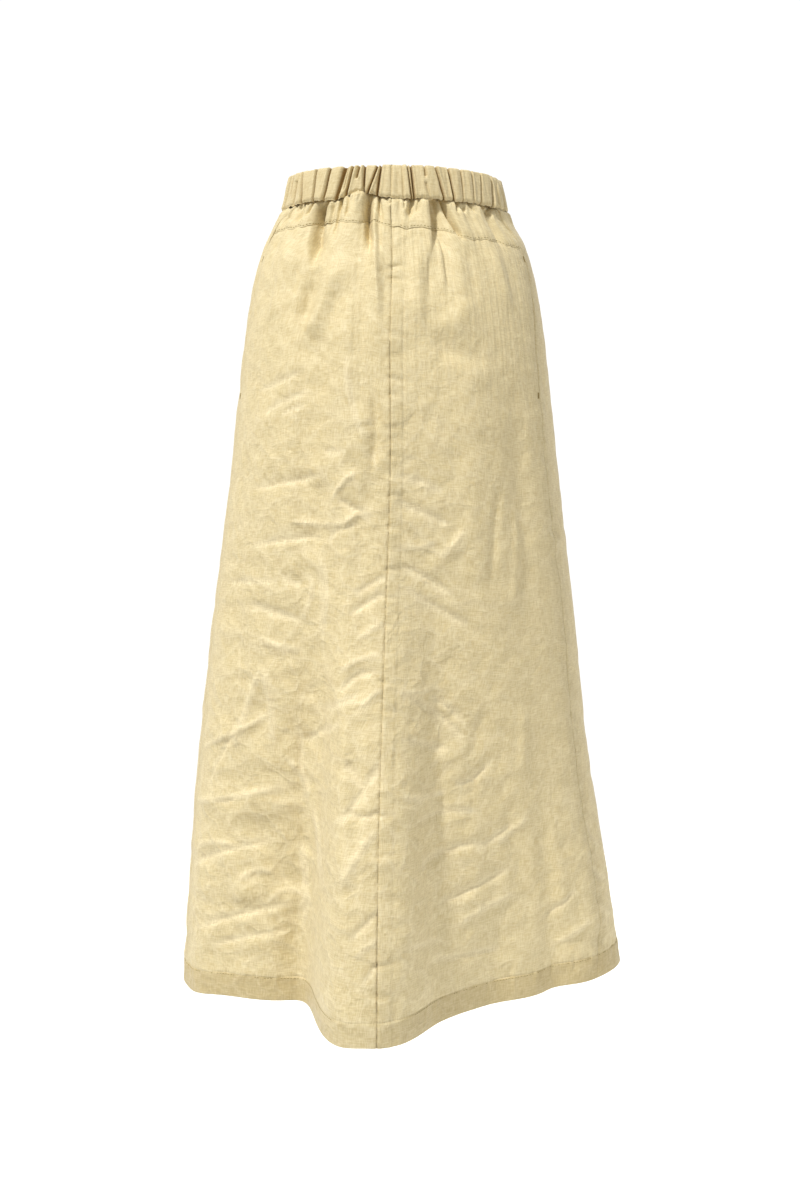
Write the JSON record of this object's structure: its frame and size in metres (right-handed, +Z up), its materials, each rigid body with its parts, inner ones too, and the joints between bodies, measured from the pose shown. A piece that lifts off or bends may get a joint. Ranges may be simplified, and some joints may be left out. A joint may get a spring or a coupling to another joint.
{
  "type": "gathered skirt",
  "caption": "Long flared linen skirt, worn: gathered elastic waistband, back yoke, centre back seam, side seams and a turned-up hem, hollow and open at waist and hem.",
  "frame": {"origin": "centre of the waist opening, at half the height of the elastic waistband", "axes": "+Z up out of the waist, -Y towards the back of the skirt (the side with the centre back seam), +X to the right as the back is seen"},
  "size_m": [0.4733, 0.3982, 0.8419],
  "materials": {
    "linen_cloth": "washed plain-weave linen, pale straw yellow, matt, creased",
    "linen_band": "the same washed linen, gathered over an elastic in a casing"
  },
  "bodies": {
    "root": {"waistband_back_left": "linen_band", "waistband_back_right": "linen_band", "waistband_front": "linen_band", "yoke_back_left": "linen_cloth", "yoke_back_right": "linen_cloth", "skirt_back_left": "linen_cloth", "skirt_back_right": "linen_cloth", "skirt_front": "linen_cloth"}
  },
  "joints": []
}
